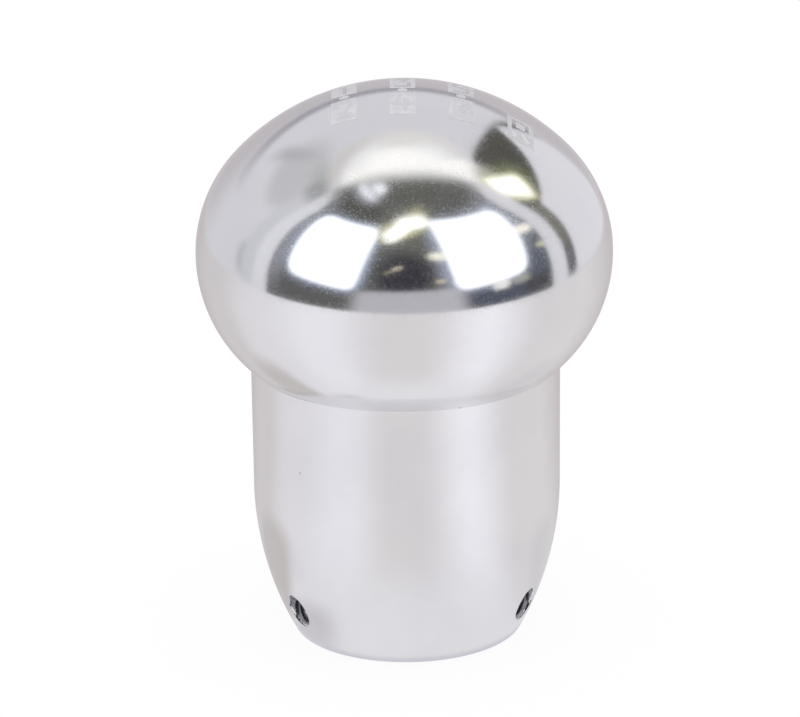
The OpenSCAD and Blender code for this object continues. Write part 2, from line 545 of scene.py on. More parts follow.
@dataclass(frozen=True)
class Thread:
    """A metric thread.

    Attributes:
        diameter: Nominal diameter.
        pitch: Distance from turn to turn.
        steps: Steps round one turn of the mesh.
    """

    diameter: float
    pitch: float
    steps: int

    # Depth, and half the flats at root and crest, as shares of the pitch
    DEPTH = 0.6134
    ROOT_FLAT = 0.125
    CREST_FLAT = 0.4375
    # A cone so wide that it cuts nothing off
    NO_CONE = 99.0

    @property
    def depth(self) -> float:
        """Depth from crest to root, by the metric rule."""
        return self.DEPTH * self.pitch

    def rod(self, tree: RodTree, name: str, material: Material, start: float, end: float,
            grow: float = 0.0, tip: float = NO_CONE, tail: float = NO_CONE, lead: float = 0.0) -> Piece:
        """A threaded rod along +Z.

        Args:
            tree: The rod tree.
            name: The object's name.
            material: The finish.
            start: Height at which it starts.
            end: Height at which it ends.
            grow: How much fatter it is than the nominal thread, on the radius.
            tip: Radius of the cone at its start.
            tail: Radius of the cone at its end.
            lead: Radius that both ends open to, as a tap with a countersink cuts.

        Returns:
            The rod.
        """
        crest = self.diameter / 2 + grow
        return tree.solid(
            name, material, Length=end - start, Start=start, Pitch=self.pitch, Steps=self.steps,
            Crest=crest, Root=crest - self.depth, Root_Flat=self.ROOT_FLAT, Crest_Flat=self.CREST_FLAT,
            Tip=tip, Tail=tail, Lead=lead,
        )


def cut(body: Piece, tools: Sequence[Piece]) -> None:
    """Cuts the tools out of a body and removes them.

    Args:
        body: The object that is cut.
        tools: Closed objects that are cut away.
    """
    for tool in tools:
        modifier = body.modifiers.new(tool.name, "BOOLEAN")
        modifier.operation = "DIFFERENCE"
        modifier.solver = "EXACT"
        modifier.object = tool
    settle(body)
    for tool in tools:
        bpy.data.objects.remove(tool)


def hand_over(piece: Piece, body: str, slot: Slot, *nodes: str) -> None:
    """Fixes a finished piece to its body and hides the nodes that it replaces.

    Args:
        piece: The finished object.
        body: The body it rides on.
        slot: The record's material slot of its finish; not used.
        *nodes: The nodes that it replaces.
    """
    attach(piece, body)
    if nodes:
        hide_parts(*nodes)
    LOG.info("%s on %s: %d faces", piece.name, body, len(piece.data.polygons))


@dataclass
class KnobBody:
    """The turned and buffed body, with its bore and its three tapped holes."""

    head_r: float = 25.0
    crown_rise: float = 20.3
    shoulder_r: float = 16.7
    bowl_r: float = 17.7
    neck_h: float = 33.9
    neck_r: float = 18.6
    neck_fillet_r: float = 0.4
    barrel_r: float = 18.5
    foot_h: float = 18.7
    base_r: float = 13.7
    base_edge_r: float = 0.4
    seat_r: float = 9.55
    seat_top: float = 24.0
    mouth_chamfer: float = 0.5
    room_r: float = 6.75
    room_l: float = 25.0
    drill_point_angle: float = 118.0
    turn_steps: int = 216
    outer_tolerance: float = 0.03
    many_sided_slack: float = 0.2
    wall_gap: float = 0.01
    holes_between: Point = (1.0, 10.0)
    buffed_mouth: float = 0.25

    # Chords along each arc of the outline
    CHORDS = {"crown": 46, "shoulder": 28, "bowl": 32, "fillet": 6, "barrel": 14, "foot": 34, "edge": 6}
    # How far the first and the last arc run on past the ends of the knob
    PAST = 1.0

    def __post_init__(self) -> None:
        """Works out the arcs that the outline is made of."""
        self.bowl_x = self.head_r - self.bowl_r
        self.fillet_x = self.neck_r + self.neck_fillet_r
        reach = self.bowl_r + self.neck_fillet_r
        self.equator_h = self.neck_h + math.sqrt(reach ** 2 - (self.fillet_x - self.bowl_x) ** 2)
        self.bowl_end = -math.degrees(math.acos((self.fillet_x - self.bowl_x) / reach))
        self.top = self.equator_h + self.crown_rise
        self.shoulder_x = self.head_r - self.shoulder_r
        rise = self.crown_rise - self.shoulder_r
        self.crown_r = (self.shoulder_x ** 2 + self.crown_rise ** 2 - self.shoulder_r ** 2) / (2 * rise)
        self.crown_z = self.top - self.crown_r
        self.crown_a = math.degrees(math.atan2(self.equator_h - self.crown_z, self.shoulder_x))
        inset = self.barrel_r - self.base_r
        self.foot_r = (inset ** 2 + self.foot_h ** 2) / (2 * inset)
        self.foot_x = self.barrel_r - self.foot_r
        lift = self.foot_h - self.base_edge_r
        self.edge_x = self.foot_x + math.sqrt((self.foot_r - self.base_edge_r) ** 2 - lift ** 2)
        self.edge_a = math.degrees(math.atan2(-lift, self.edge_x - self.foot_x))
        self.room_top = self.seat_top + self.room_l
        self.drill_tip = self.room_top + self.room_r / math.tan(math.radians(self.drill_point_angle / 2))

    def outline(self) -> list[Point]:
        """The whole half section, from the crown down the outside and up the bore.

        Returns:
            Points of radius and height.
        """
        bore_mouth = self.seat_r + self.mouth_chamfer
        chords = self.CHORDS
        points = [(0.0, self.top)]
        points += arc((0, self.crown_z), self.crown_r, 90, self.crown_a, chords["crown"])
        points += arc((self.shoulder_x, self.equator_h), self.shoulder_r, self.crown_a, 0, chords["shoulder"])
        points += arc((self.bowl_x, self.equator_h), self.bowl_r, 0, self.bowl_end, chords["bowl"])
        fillet = (self.fillet_x, self.neck_h)
        points += arc(fillet, self.neck_fillet_r, 180 + self.bowl_end, 180, chords["fillet"])
        points += line(points[-1], (self.barrel_r, self.foot_h), chords["barrel"])
        points += arc((self.foot_x, self.foot_h), self.foot_r, 0, self.edge_a, chords["foot"])
        points += arc((self.edge_x, self.base_edge_r), self.base_edge_r, self.edge_a, -90, chords["edge"])
        bore = (
            ((bore_mouth, 0), 3),
            ((self.seat_r, self.mouth_chamfer), 1),
            ((self.seat_r, self.seat_top), 12),
            ((self.room_r, self.seat_top), 2),
            ((self.room_r, self.room_top), 8),
            ((0, self.drill_tip), 6),
        )
        for corner, steps in bore:
            points += line(points[-1], corner, steps)
        return points

    def surface(self, height: np.ndarray) -> tuple[np.ndarray, np.ndarray]:
        """Radius and outward normal of the outside, by height.

        Args:
            height: Heights in millimetres.

        Returns:
            The radii, and the normals as pairs of radial and vertical share.
        """
        radius = np.full(height.shape, self.neck_r)
        normal = np.tile([1.0, 0.0], (len(height), 1))
        fillet_top = self.equator_h + self.bowl_r * math.sin(math.radians(self.bowl_end))
        crown_h = self.crown_z + self.crown_r * math.sin(math.radians(self.crown_a))
        edge_h = self.base_edge_r * (1 + math.sin(math.radians(self.edge_a)))
        arcs = [
            (-self.PAST, edge_h, self.edge_x, self.base_edge_r, self.base_edge_r, 1),
            (edge_h, self.foot_h, self.foot_x, self.foot_h, self.foot_r, 1),
            (self.neck_h, fillet_top, self.fillet_x, self.neck_h, self.neck_fillet_r, -1),
            (fillet_top, self.equator_h, self.bowl_x, self.equator_h, self.bowl_r, 1),
            (self.equator_h, crown_h, self.shoulder_x, self.equator_h, self.shoulder_r, 1),
            (crown_h, self.top + self.PAST, 0.0, self.crown_z, self.crown_r, 1),
        ]
        straight = (height >= self.foot_h) & (height <= self.neck_h)
        share = (height[straight] - self.foot_h) / (self.neck_h - self.foot_h)
        radius[straight] = self.barrel_r + (self.neck_r - self.barrel_r) * share
        for low, high, centre_r, centre_h, size, side in arcs:
            on = (height > low) & (height <= high)
            rise = np.clip(height[on] - centre_h, -size, size)
            across = np.sqrt(size ** 2 - rise ** 2)
            radius[on] = centre_r + side * across
            normal[on] = np.column_stack([across, side * rise]) / size
        return radius, normal

    def build(self, lathe: LatheTree, tools: Sequence[Piece], turned: Material) -> Piece:
        """Turns the body, taps it and gives the outside its exact normals.

        Args:
            lathe: The lathe tree.
            tools: The taps that cut the screw holes.
            turned: The finish of the bore.

        Returns:
            The body.
        """
        buffed = POLISHED.material()
        body = lathe.turned("knob_shell", self.outline(), buffed, self.turn_steps)
        cut(body, tools)
        mesh = body.data
        mesh.materials.clear()
        for finish in (buffed, turned, TAPPED_IN_SHADE.material()):
            mesh.materials.append(finish)
        mesh.set_sharp_from_angle(angle=SHARP_EDGE)
        centres = np.array([p.center for p in mesh.polygons]) / MM
        outside = self._outside(mesh, centres)
        self._true_normals(mesh, outside)
        self._dress(mesh, centres, outside)
        return body

    def _outside(self, mesh: Mesh, centres: np.ndarray) -> np.ndarray:
        """Which faces are the buffed outside.

        Args:
            mesh: The body's mesh.
            centres: The faces' middles, in millimetres.

        Returns:
            One truth value for each face.
        """
        sides = np.array([p.loop_total for p in mesh.polygons])
        facing = np.array([p.normal for p in mesh.polygons])
        reach = np.hypot(centres[:, 0], centres[:, 1])
        slack = self.outer_tolerance * (1 + self.many_sided_slack * (sides > 4))
        outside = np.abs(reach - self.surface(centres[:, 2])[0]) < slack
        outside |= centres[:, 2] > self.equator_h
        outside &= (facing[:, :2] * centres[:, :2]).sum(1) > -LEAST_RADIUS
        outside &= (reach > self.edge_x) | (centres[:, 2] > self.drill_tip)
        return outside

    def _true_normals(self, mesh: Mesh, outside: np.ndarray) -> None:
        """Writes the outline's own normals on the outside.

        Args:
            mesh: The body's mesh.
            outside: Which faces are the outside.
        """
        spots = np.empty(len(mesh.vertices) * 3)
        mesh.vertices.foreach_get("co", spots)
        spots = spots.reshape(-1, 3) / MM
        normals = np.empty(len(mesh.loops) * 3)
        mesh.corner_normals.foreach_get("vector", normals)
        normals = normals.reshape(-1, 3)
        corner = np.empty(len(mesh.loops), int)
        mesh.loops.foreach_get("vertex_index", corner)
        on = np.repeat(outside, [p.loop_total for p in mesh.polygons])
        at = spots[corner[on]]
        away = np.hypot(at[:, 0], at[:, 1])
        share = self.surface(at[:, 2])[1]
        round_about = at[:, :2] / np.maximum(away, LEAST_RADIUS)[:, None]
        normals[on] = np.column_stack([round_about * share[:, :1], share[:, 1]])
        mesh.normals_split_custom_set(normals)

    def _dress(self, mesh: Mesh, centres: np.ndarray, outside: np.ndarray) -> None:
        """Gives each face its finish: the holes are tapped, with a buffed mouth, and the bore is turned.

        Args:
            mesh: The body's mesh, with its buffed, turned and tapped finishes in that order.
            centres: The faces' middles, in millimetres.
            outside: Which faces are the outside.
        """
        buffed, turned, tapped = range(3)
        reach = np.hypot(centres[:, 0], centres[:, 1])
        depth = self.surface(centres[:, 2])[0] - reach
        lowest, highest = self.holes_between
        holes = ~outside & (reach > self.seat_r + self.wall_gap)
        holes &= (centres[:, 2] > lowest) & (centres[:, 2] < highest)
        # The tapped finish's darker colour is painted shade inside the holes; their mouths keep the buffed
        # finish
        finish = np.where(outside, buffed, np.where(holes & (depth > self.buffed_mouth), tapped, turned))
        finish[holes & (depth <= self.buffed_mouth)] = buffed
        mesh.polygons.foreach_set("material_index", finish.astype(np.int32))
        mesh.update()


@dataclass
class ScrewSet:
    """Three cone point set screws and the tapped holes that they turn in."""

    thread: Thread = Thread(4.0, 0.7, 48)
    length: float = 6.0
    height: float = 4.8
    first_turn: float = -57.0
    count: int = 3
    tip_at: float = 8.371
    point_r: float = 0.3
    chamfer: float = 0.35
    socket_flats: float = 2.0
    socket_depth: float = 2.5
    play: float = 0.03
    hole_from: float = 8.2
    hole_to: float = 19.0
    hole_grow: float = 0.05
    mouth_depth: float = 0.22
    mouth_slope: float = 0.2
    edge_break: float = 0.06
    drill_r: float = 0.8
    drill_point: float = 0.45
    drill_lap: float = 0.2
    drill_steps: int = 24
    sink_inset: float = 0.25
    sink_depth: float = 0.22
    sink_point: float = 0.4
    sink_outset: float = 0.4
    past: float = 1.0

    def place(self, number: int) -> Matrix:
        """The matrix that lays +Z along one screw, outwards.

        Args:
            number: The screw's number, from 1.

        Returns:
            The matrix, in metres.
        """
        turn = math.radians(self.first_turn + (number - 1) * 360 / self.count - 90)
        outwards = Matrix.Rotation(turn, 4, "Z") @ Matrix.Rotation(math.pi / 2, 4, "Y")
        return Matrix.Translation((0, 0, self.height * MM)) @ outwards

    def taps(self, rods: RodTree, material: Material, body: KnobBody) -> list[Piece]:
        """The taps, one for each hole.

        Args:
            rods: The rod tree.
            material: The finish of the tapped wall.
            body: The body that they cut.

        Returns:
            Closed rods in their places.
        """
        made = []
        for number in range(1, self.count + 1):
            name = f"tap_{number}"
            tap = self.thread.rod(rods, name, material, self.hole_from, self.hole_to, self.hole_grow)
            self._clear_mouth(tap.data, self.place(number), body)
            tap.data.transform(self.place(number))
            made.append(tap)
        return made

    def _clear_mouth(self, tap: Mesh, place: Matrix, body: KnobBody) -> None:
        """Clears the thread just under the body's surface, and breaks the mouth's edge.

        Args:
            tap: The tap, still along +Z.
            place: What lays it in its hole.
            body: The body that it cuts.
        """
        spots = np.empty(len(tap.vertices) * 3)
        tap.vertices.foreach_get("co", spots)
        spots = spots.reshape(-1, 3)
        laid = (spots @ np.array(place)[:3, :3].T + np.array(place)[:3, 3]) / MM
        depth = body.surface(laid[:, 2])[0] - np.hypot(laid[:, 0], laid[:, 1])
        radius = np.hypot(spots[:, 0], spots[:, 1]) / MM
        wall = self.thread.diameter / 2 + self.hole_grow
        share = np.clip((self.mouth_depth + self.mouth_slope - depth) / self.mouth_slope, 0, 1)
        wider = np.clip(self.edge_break - depth, 0, self.thread.diameter / 4)
        scale = (radius + (wall - radius) * share + wider) / np.maximum(radius, LEAST_RADIUS)
        scale[radius < self.thread.diameter / 4] = 1.0
        spots[:, :2] *= scale[:, None]
        tap.vertices.foreach_set("co", spots.ravel())
        tap.update()

    def build(self, lathe: LatheTree, rods: RodTree) -> list[Piece]:
        """The screws, in their tightened places.

        Args:
            lathe: The lathe tree.
            rods: The rod tree.

        Returns:
            One object for each screw.
        """
        steel = STAINLESS_IN_SHADE.material()
        made = []
        for number in range(1, self.count + 1):
            end = self.tip_at + self.length
            screw = self.thread.rod(
                rods, f"grub_screw_{number}", steel, self.tip_at, end, -self.play,
                tip=self.point_r, tail=self.thread.diameter / 2 - self.chamfer,
            )
            cut(screw, self._socket_tools(lathe, steel, end))
            screw.data.set_sharp_from_angle(angle=SHARP_THREAD)
            screw.data.transform(self.place(number))
            made.append(screw)
        return made

    def _socket_tools(self, lathe: LatheTree, steel: Material, end: float) -> list[Piece]:
        """What a broach and a drill leave in the driven end.

        Args:
            lathe: The lathe tree.
            steel: The screw's finish.
            end: Height of the driven end.

        Returns:
            A hexagon, a drill point and a countersink.
        """
        corner_r = self.socket_flats / 2 / math.cos(math.pi / 6)
        floor = end - self.socket_depth
        hexagon = [(0, floor), (corner_r, floor), (corner_r, end + self.past), (0, end + self.past)]
        lap = floor + self.drill_lap
        drill = [(0, floor - self.drill_point), (self.drill_r, floor), (self.drill_r, lap), (0, lap)]
        rim = end + self.sink_outset + self.sink_inset - self.sink_depth
        sink = [
            (0, end - self.sink_point), (corner_r - self.sink_inset, end - self.sink_depth),
            (corner_r + self.sink_outset, rim), (0, rim),
        ]
        tools = (
            ("broach", 6, hexagon),
            ("drill", self.drill_steps, drill),
            ("countersink", self.drill_steps, sink),
        )
        return [lathe.turned(name, rings, steel, sides) for name, sides, rings in tools]


@dataclass
class Adapter:
    """The turned collar that takes the lever's thread, with a ring groove for the screw points."""

    outer_r: float = 9.5
    length: float = 23.0
    foot: float = 1.0
    chamfer: float = 0.5
    groove_depth: float = 1.2
    groove_flat: float = 0.3
    groove_h: float = 4.8
    lead_r: float = 6.2
    thread: Thread = Thread(12.0, 1.25, 72)
    turn_steps: int = 144
    tap_past: float = 0.2

    def build(self, lathe: LatheTree, rods: RodTree) -> Piece:
        """Turns the collar and taps it.

        Args:
            lathe: The lathe tree.
            rods: The rod tree.

        Returns:
            The collar.
        """
        nickel = NICKEL.material()
        top = self.foot + self.length
        half = self.groove_flat + self.groove_depth
        floor_r = self.outer_r - self.groove_depth
        corners = [
            (0, self.foot),
            (self.outer_r - self.chamfer, self.foot),
            (self.outer_r, self.foot + self.chamfer),
            (self.outer_r, self.groove_h - half),
            (floor_r, self.groove_h - self.groove_flat),
            (floor_r, self.groove_h + self.groove_flat),
            (self.outer_r, self.groove_h + half),
            (self.outer_r, top - self.chamfer),
            (self.outer_r - self.chamfer, top),
            (0, top),
        ]
        collar = lathe.turned("threaded_collar", corners, nickel, self.turn_steps)
        tap = self.thread.rod(rods, "lever_tap", nickel, self.foot, top, lead=self.lead_r)
        for vertex in tap.data.vertices:
            for height, past in ((self.foot, -self.tap_past), (top, self.tap_past)):
                if abs(vertex.co.z - height * MM) < SAME_PLACE:
                    vertex.co.z += past * MM
        cut(collar, [tap])
        collar.data.set_sharp_from_angle(angle=SHARP_THREAD)
        return collar


class Numeral(Enum):
    """The gears, each with the pen strokes of its sign on a field one wide and one high."""

    FIRST = (((0.2, 0.82), (0.55, 1.0), (0.55, 0.0)),)
    SECOND = (((0.0, 1.0), (1.0, 1.0), (1.0, 0.62), (0.0, 0.0), (1.0, 0.0)),)
    THIRD = (((0.0, 1.0), (1.0, 1.0), (0.4, 0.58), (1.0, 0.46), (1.0, 0.0), (0.0, 0.0)),)
    FOURTH = (((0.3, 1.0), (0.0, 0.34), (1.0, 0.34)), ((0.72, 0.72), (0.72, 0.0)))
    FIFTH = (((1.0, 1.0), (0.0, 1.0), (0.0, 0.56), (1.0, 0.56), (1.0, 0.0), (0.0, 0.0)),)
    SIXTH = (((1.0, 1.0), (0.0, 1.0), (0.0, 0.0), (1.0, 0.0), (1.0, 0.56), (0.0, 0.56)),)
    REVERSE = (((0.0, 0.0), (0.0, 1.0), (1.0, 1.0), (1.0, 0.52), (0.0, 0.52)), ((0.4, 0.52), (1.0, 0.0)))


@dataclass
class GearPattern:
    """The gear pattern on the crown: etched tiles with bare numerals, and a dot in each gate."""

    tile_w: float = 3.05
    tile_h: float = 5.6
    dot_r: float = 0.6
    column_pitch: float = 6.97
    lower_edge: float = -1.0
    upper_edge: float = 0.75
    sign_w: float = 1.55
    sign_h: float = 4.0
    pen: float = 0.48
    proud: float = 0.012
    sunk: float = 0.05
    grid: float = 0.4
    gates: int = 3
    dot_steps: int = 12
    same_spot: float = 1e-5

    def tiles(self) -> list[tuple[Numeral, float, float]]:
        """Each gear with its tile's left and lower edge."""
        upper = (Numeral.FIRST, Numeral.THIRD, Numeral.FIFTH)
        lower = (Numeral.SECOND, Numeral.FOURTH, Numeral.SIXTH, Numeral.REVERSE)
        rows = ((upper, self.upper_edge), (lower, self.lower_edge - self.tile_h))
        return [
            (gear, (column - 1) * self.column_pitch - self.tile_w / 2, edge)
            for gears, edge in rows
            for column, gear in enumerate(gears)
        ]

    def build(self, body: KnobBody) -> Piece:
        """Draws the pattern flat, lays it on the crown and gives it a skin's thickness.

        Args:
            body: The body that carries it.

        Returns:
            The pattern as one thin closed mesh.
        """
        corners, edges, fields, pens = [], [], [], []
        for gear, left, low in self.tiles():
            fields.append(self._add(corners, self._rectangle(left, low)))
            edges += self._grid_edges(corners, left, low)
            for stroke in gear.value:
                for start, end in zip(stroke, stroke[1:]):
                    ends = [self._spot(point, left, low) for point in (start, end)]
                    pens.append(self._add(corners, self._pen_line(*ends)))
        for column in range(self.gates):
            middle = Vector(((column - 1) * self.column_pitch, 0))
            fields.append(self._add(corners, self._pen_line(middle, middle, self.dot_r, self.dot_steps)))
        flat = delaunay_2d_cdt(corners, edges, fields + pens, 1, self.same_spot)
        kept = [face for face, source in zip(flat[2], flat[5])
                if source and all(number < len(fields) for number in source)]
        return self._lay(flat[0], kept, body)

    def _add(self, corners: list[Vector], outline: list[Vector]) -> list[int]:
        """Adds an outline's corners to the list and returns their numbers."""
        first = len(corners)
        corners.extend(outline)
        return list(range(first, len(corners)))

    def _rectangle(self, left: float, low: float) -> list[Vector]:
        """A tile's corners."""
        right, high = left + self.tile_w, low + self.tile_h
        return [Vector(p) for p in ((left, low), (right, low), (right, high), (left, high))]

    def _grid_edges(self, corners: list[Vector], left: float, low: float) -> list[tuple[int, int]]:
        """Lines across a tile, close enough for it to follow the crown.

        Args:
            corners: The list that gets the lines' ends.
            left: The tile's left edge.
            low: The tile's lower edge.

        Returns:
            The lines, as pairs of corner numbers.
        """
        lines = []
        for size, across in ((self.tile_w, True), (self.tile_h, False)):
            count = math.ceil(size / self.grid)
            for i in range(1, count):
                at = size * i / count
                ends = ((at, 0), (at, self.tile_h)) if across else ((0, at), (self.tile_w, at))
                lines.append(tuple(self._add(corners, [Vector((left + x, low + y)) for x, y in ends])))
        return lines

    def _spot(self, point: Point, left: float, low: float) -> Vector:
        """Where a point of a sign lies on its tile."""
        x = left + (self.tile_w - self.sign_w) / 2 + point[0] * self.sign_w
        y = low + (self.tile_h - self.sign_h) / 2 + point[1] * self.sign_h
        return Vector((x, y))

    def _pen_line(self, start: Vector, end: Vector, radius: float = 0.0, steps: int = 5) -> list[Vector]:
        """The outline of one round-ended pen line.

        Args:
            start: Its first point.
            end: Its last point.
            radius: Half its width, or 0 for the pen's own.
            steps: Chords in each round end.

        Returns:
            The outline's corners.
        """
        radius = radius or self.pen / 2
        run = end - start
        turn = math.atan2(run.y, run.x)
        outline = []
        for centre, first in ((end, turn - math.pi / 2), (start, turn + math.pi / 2)):
            for i in range(steps + 1):
                angle = first + math.pi * i / steps
                outline.append(centre + radius * Vector((math.cos(angle), math.sin(angle))))
        return outline if run.length else outline[:steps] + outline[steps + 1:-1]

    def _lay(self, spots: Sequence[Vector], faces: Sequence[Sequence[int]], body: KnobBody) -> Piece:
        """Lays the flat drawing on the crown and closes it below.

        Args:
            spots: The drawing's points, in millimetres.
            faces: Its triangles.
            body: The body that carries it.

        Returns:
            The finished piece.
        """
        shape = bmesh.new()
        places = [shape.verts.new((spot.x, spot.y, 0)) for spot in spots]
        for face in faces:
            shape.faces.new([places[number] for number in face])
        bmesh.ops.delete(shape, geom=[v for v in shape.verts if not v.link_faces], context="VERTS")
        bmesh.ops.recalc_face_normals(shape, faces=shape.faces)
        raised = bmesh.ops.extrude_face_region(shape, geom=shape.faces[:], use_keep_orig=True)
        top = {v for v in raised["geom"] if isinstance(v, bmesh.types.BMVert)}
        for vertex in shape.verts:
            lift = self.proud if vertex in top else -self.sunk
            up = math.sqrt(body.crown_r ** 2 - vertex.co.x ** 2 - vertex.co.y ** 2)
            away = Vector((vertex.co.x, vertex.co.y, up)) * (1 + lift / body.crown_r)
            vertex.co = (away + Vector((0, 0, body.crown_z))) * MM
        bmesh.ops.recalc_face_normals(shape, faces=shape.faces)
        made = bpy.data.meshes.new("etched_gear_pattern")
        shape.to_mesh(made)
        shape.free()
        made.shade_smooth()
        made.set_sharp_from_angle(angle=SHARP_EDGE)
        made.materials.append(ETCHED.material())
        piece = bpy.data.objects.new("etched_gear_pattern", made)
        bpy.context.scene.collection.objects.link(piece)
        return piece


@dataclass(frozen=True)
class Panel:
    """A soft-edged patch of the studio, placed by direction as the knob sees it.

    Attributes:
        azimuth: Degrees from the camera's side towards +X.
        elevation: Degrees above the horizon.
        half_w: Half its width in degrees.
        half_h: Half its height in degrees.
        colour: Its colour.
        level: What that colour is multiplied by.
        soft: Width of its soft edge, in degrees.
        turn: Turn in its own plane, in degrees.
        taper: How much wider it is at its top than at its middle, as a share.
        lean: How much taller it is at its right than at its middle, as a share.
        power: 2 for an ellipse, more for a squarer shape.
    """

    azimuth: float
    elevation: float
    half_w: float
    half_h: float
    colour: str
    level: float = 1.0
    soft: float = 2.0
    turn: float = 0.0
    taper: float = 0.0
    lean: float = 0.0
    power: float = 6.0


# What the light tent shows of itself in the polished head: its walls, from the back round
TENT_WALLS = (
    Panel(234, 61.8, 34, 3, "C9C6C3", soft=5, power=3),
    Panel(165, 62, 32, 2.5, "D9D6D2", soft=4, power=3),
    Panel(184, 67.5, 20, 3.5, "D9D7D2", soft=6, power=2.5),
    Panel(182, 2, 34, 14, "B9B4B7", soft=14, power=3),
    Panel(186, 16.8, 28, 3.3, "97949C", soft=4.5, power=3),
    Panel(-122, 44, 22, 11, "BDBCBF", soft=8, power=2.5),
    Panel(-137, 38.5, 3.2, 11, "AEAEB3", soft=5, turn=-28, power=2.5),
    Panel(-105, 56.5, 19, 3.4, "ABACAB", soft=6, turn=3, power=2.5),
    Panel(-98.5, 54, 8, 4.6, "98999B", soft=6, power=2.5),
    Panel(-99, 78, 14, 11, "FCFBF6", soft=8),
    Panel(112, 74, 15, 12, "FFFEFA", soft=7),
    Panel(119, 33.5, 33, 24.6, "4F4E48", soft=2.6, turn=5, taper=-0.35, lean=0.16, power=2.5),
    Panel(104, 36, 9, 15, "5C5B53", soft=4, power=3),
    Panel(110.5, 62, 9.5, 5.4, "FFFEFA", soft=6, power=2.5),
    Panel(112, 56, 8, 4.5, "A3A294", soft=8, power=2),
    Panel(120, 43.5, 8.5, 6, "6A6F54", soft=9, turn=-48, power=2),
    Panel(104, 13, 4.5, 21, "6F6D64", soft=2.4, power=8),
    Panel(103.5, -2, 3.6, 8, "5E5F64", soft=3.5, power=3),
    Panel(131, 11.5, 23, 21.3, "D7D6DB", soft=2.2, power=12),
    Panel(108.8, 46.6, 12.4, 7.4, "CFCD9C", soft=4, turn=-47, power=5),
    Panel(108.8, 46.9, 10.8, 5.9, "FFFDF2", 1.3, soft=2, turn=-47, power=5),
)
# Through its opening, on the camera's side: the dark room, two softboxes and the lamps of the room
OPENING = (
    Panel(0, 17, 17, 19, "38373E", soft=16, power=2.5),
    Panel(30, 77.5, 60, 6, "5C5C58", soft=5, power=3),
    Panel(-55, 66, 34, 5, "51514D", soft=5),
    Panel(50, 66, 34, 4, "5A5A58", soft=5),
    Panel(-58, -3, 24, 9, "5B5B5B", soft=5),
    Panel(56, -4, 22, 8, "4D525E", soft=4),
    Panel(77, -3, 9, 7, "49484C", soft=5),
    Panel(81, 14, 9, 14, "575C67", soft=6),
    Panel(-65, 75.5, 22, 6.3, "A3A4AA", soft=6, power=2.5),
    Panel(-64, 73, 19, 1.8, "F2F2FA", soft=1.8, power=3),
    Panel(-57, 78.4, 15, 2.6, "FAFAFF", soft=2.0, power=3),
    Panel(-76, 30, 4, 28, "8A8C94", soft=5, power=5),
    Panel(-46.4, 31, 26.4, 27.4, "8E97AB", soft=8, turn=-2, taper=0.12, lean=0.07, power=6),
    Panel(47.8, 31.2, 29, 29.2, "8E95A6", soft=11, turn=-2, taper=0.14, lean=-0.1, power=6),
    Panel(80.5, 42, 5.5, 15, "8B919E", soft=6),
    Panel(1.5, 58.2, 24, 8.6, "B2AE84", soft=6, turn=18, power=3.5),
    Panel(-4.8, 55.2, 12.6, 6.2, "FFFFF6", 1.25, soft=3.4, turn=36, power=3.5),
    Panel(7.5, 61.8, 16, 5.7, "FFFFF6", 1.25, soft=3.4, turn=4, lean=-0.1, power=3.5),
    Panel(-46.9, 31.1, 23.3, 25.1, "F4F8FF", 1.45, soft=4, turn=-2.3, taper=0.13, lean=0.06, power=7.5),
    Panel(50.9, 31.2, 25.6, 27, "F4F8FF", 1.45, soft=4, turn=-2.9, taper=0.17, lean=-0.11, power=9),
    Panel(21, 32.4, 6, 3.2, "F6F4E2", soft=3.4, turn=-8, power=2.5),
    Panel(82, 31.2, 7, 2.8, "F8F1E4", 1.1, soft=2, turn=-18, power=3),
    Panel(86, 16.6, 3.4, 1.6, "CFCDAA", soft=1.5, turn=-18, power=2.5),
    Panel(-4.5, 24.2, 3.4, 1.3, "D8CBB8", soft=1.2, turn=28, power=2.5),
    Panel(-9.5, 21, 3, 1.2, "8B8974", soft=1.4, turn=28, power=2.5),
    Panel(20, 12.3, 2.8, 1.7, "C0B5A2", soft=1.4, power=3),
    Panel(54, 1.4, 5.2, 3.2, "E8E7E3", soft=2.5, power=2.5),
    Panel(66.5, 1.4, 5.4, 2.6, "9C9C96", soft=2.2, power=2.5),
    Panel(2.2, -5.2, 30.4, 10.8, "B3B1B7", soft=4, turn=1.2, taper=-0.07, power=7),
)
# The white hems of the opening
HEMS = (
    Panel(-98, 2, 7, 9, "AFAFB5", soft=5, power=3),
    Panel(-96, 19, 5, 28.5, "C6C7CC", soft=3.5),
    Panel(-85.6, 25, 5.2, 35.3, "D8D8DD", soft=3, power=7),
    Panel(94, 25, 5.4, 35, "D6D5DA", soft=3, power=7),
)
# Painted light and shade of the table, by azimuth and, as a height, by distance from the axis in millimetres.
# The barrel shows
# them: painted pools of light towards the softboxes, painted lighter close to the knob, and a painted shadow
# right under its edge
TABLE_PAINTED_LIGHT = (
    Panel(0, 0, 140, 1e4, "CDC9CA", soft=30, power=2),
    Panel(8, 0, 112, 1e4, "D8D5D6", soft=30, power=2),
    Panel(-66, 0, 30, 1e4, "DEDCE0", soft=34, power=2),
    Panel(-44, 0, 19, 1e4, "E8E7EC", soft=32, power=2),
    Panel(43, 0, 18, 1e4, "EFEEF3", soft=36, power=2),
    Panel(0, 0, 80, 32, "E3E2E5", soft=26, power=2.5),
    Panel(-106, 26, 22, 22, "C2BDBC", soft=17, power=2.5),
    Panel(112, 24, 22, 22, "CFCDCE", soft=18, power=2.5),
    Panel(-64, 16, 20, 5, "CCC9CD", soft=6, power=2.5),
    # Painted shadow right under the base edge, which the rounded edge shows as a thin dark line
    Panel(0, 0, 1e4, 14.25, "D0CED6", soft=0.8, power=8),
)


